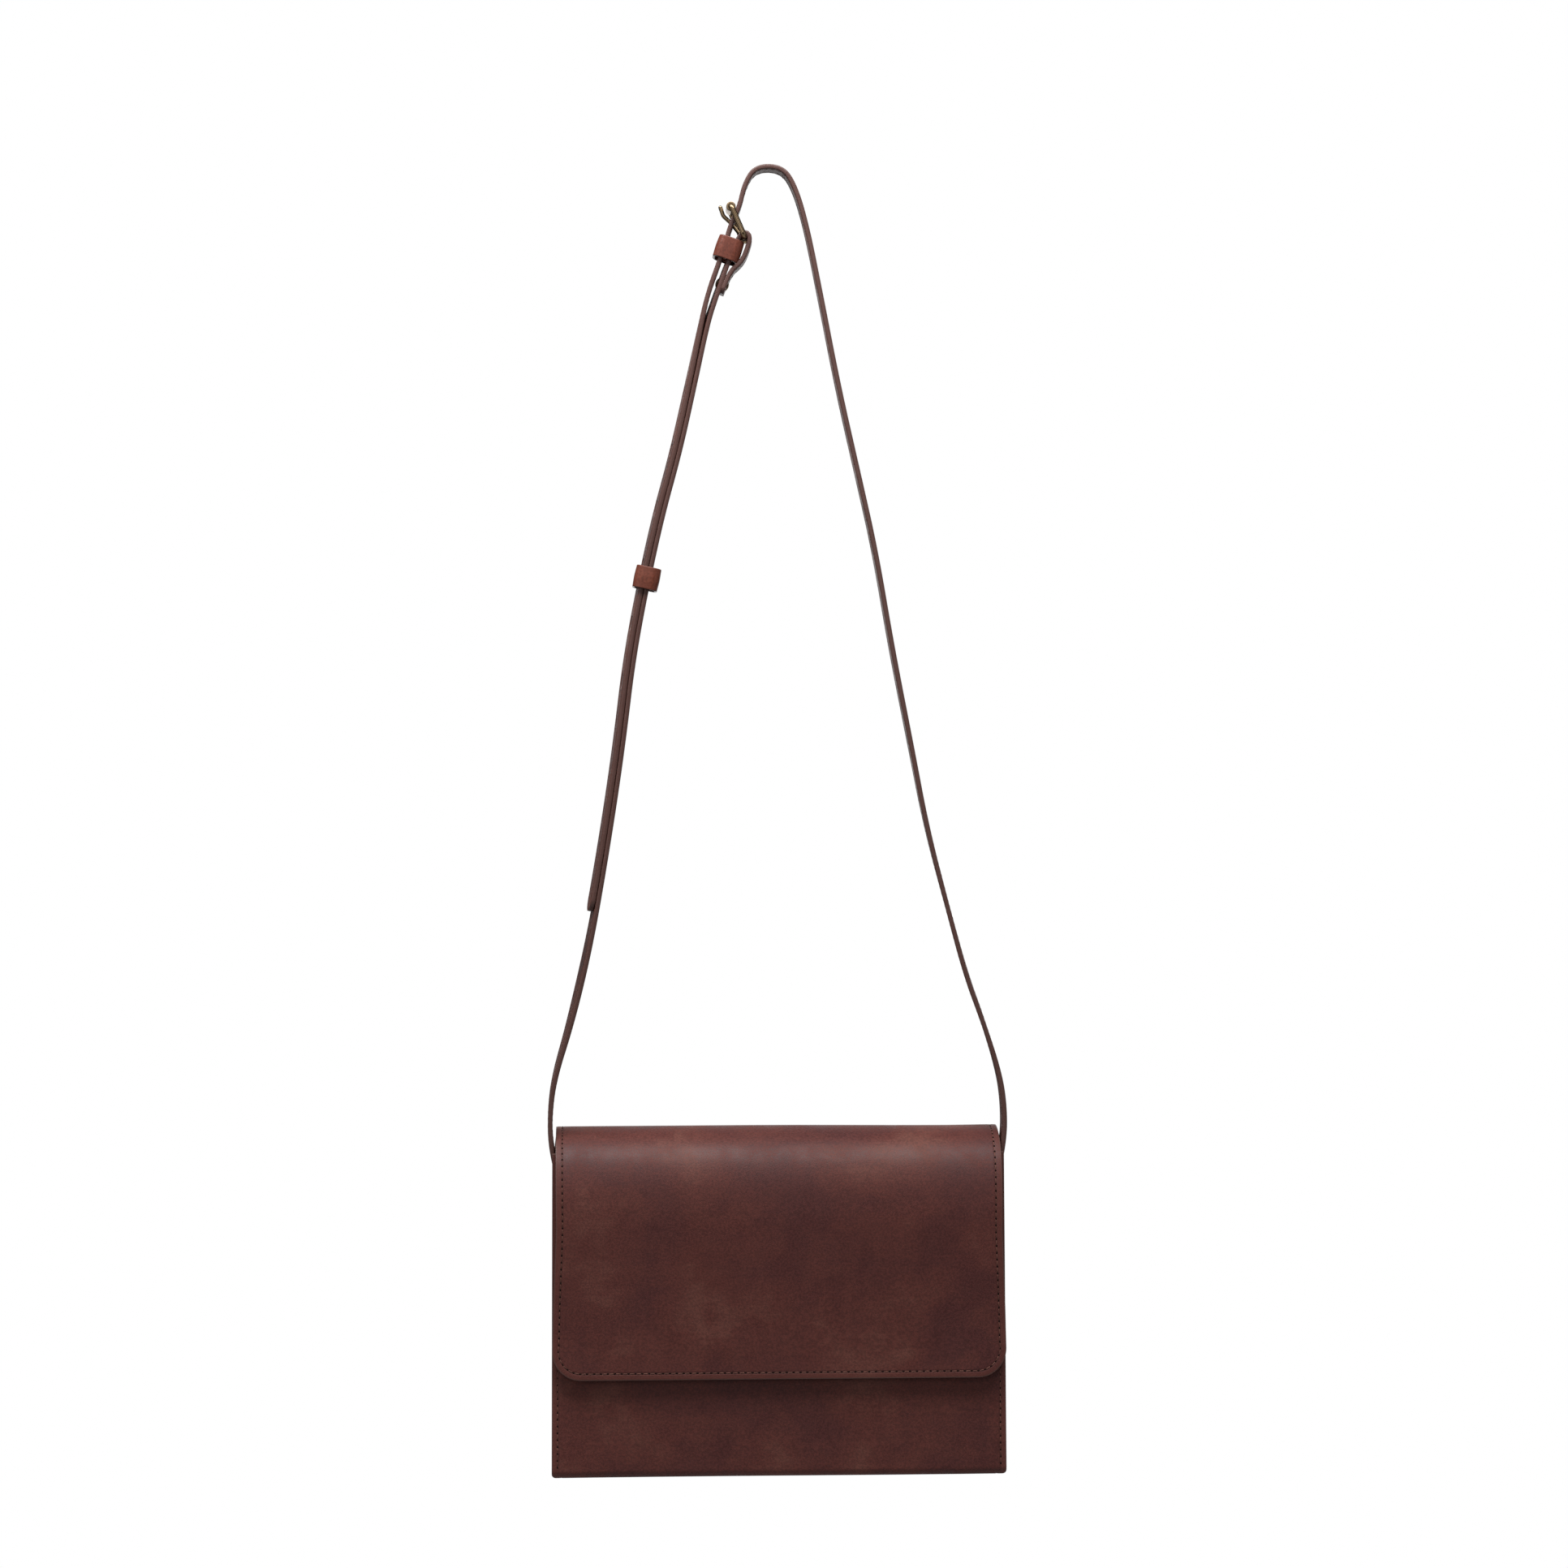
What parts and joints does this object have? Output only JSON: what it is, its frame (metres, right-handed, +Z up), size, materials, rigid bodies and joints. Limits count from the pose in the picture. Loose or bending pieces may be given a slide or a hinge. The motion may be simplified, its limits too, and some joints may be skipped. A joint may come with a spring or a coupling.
{
  "type": "crossbody purse",
  "caption": "Small flap-over crossbody purse in brown leather, wedge-shaped with side gussets, hanging by a long buckled strap.",
  "frame": {"origin": "the hanging point: the underside of the strap at its highest place, in the middle of its width", "axes": "+Z up, -Y out of the flap's front, +X to the right as seen from the front"},
  "size_m": [0.2343, 0.0439, 0.6644],
  "materials": {
    "wrap_leather": "waxed pull-up leather, semi-gloss, mottled",
    "gusset_leather": "same hide, thinner",
    "lining_leather": "matt, flesh side out",
    "strap_leather": "same hide, painted edges",
    "keeper_leather": "thin vegetable-tanned loop",
    "old_brass": "antiqued, rubbed bright on the edges",
    "magnet": "nickel plated"
  },
  "bodies": {
    "root": {"body_panel": "wrap_leather", "gusset_left": "gusset_leather", "gusset_right": "gusset_leather", "inner_pocket": "lining_leather", "magnet_patches": "lining_leather", "body_magnets": "magnet", "strap_long": "strap_leather", "strap_short": "strap_leather", "fold_rivet": "old_brass", "strap_end_rivets": "old_brass", "keeper_fixed": "keeper_leather"},
    "flap": {"flap_leather": "wrap_leather", "flap_lining": "lining_leather", "flap_magnets": "magnet"},
    "buckle": {"buckle_frame": "old_brass"},
    "roller": {"buckle_roller": "old_brass"},
    "prong": {"buckle_prong": "old_brass"},
    "slider": {"keeper_sliding": "keeper_leather"}
  },
  "joints": [
    {"name": "flap_fold", "type": "hinge", "parent": "root", "child": "flap", "pos_m": [0.005, 0.0221, -0.50035], "axis": [-1, 0, 0], "range_deg": [0, 65]},
    {"name": "buckle_rock", "type": "hinge", "parent": "root", "child": "buckle", "pos_m": [-0.0125, 0, -0.0348], "axis": [0, -1, 0], "range_deg": [0, 6]},
    {"name": "prong_lift", "type": "hinge", "parent": "buckle", "child": "prong", "pos_m": [-0.0125, 0, -0.0348], "axis": [0, -1, 0], "range_deg": [-4, 2]},
    {"name": "roller_turn", "type": "hinge", "parent": "buckle", "child": "roller", "pos_m": [-0.01918, 0, -0.01944], "axis": [0, 1, 0], "continuous": true},
    {"name": "keeper_slide", "type": "slide", "parent": "root", "child": "slider", "axis": [0.2113, 0, 0.9774], "range_m": [-0.045, 0.125]}
  ]
}
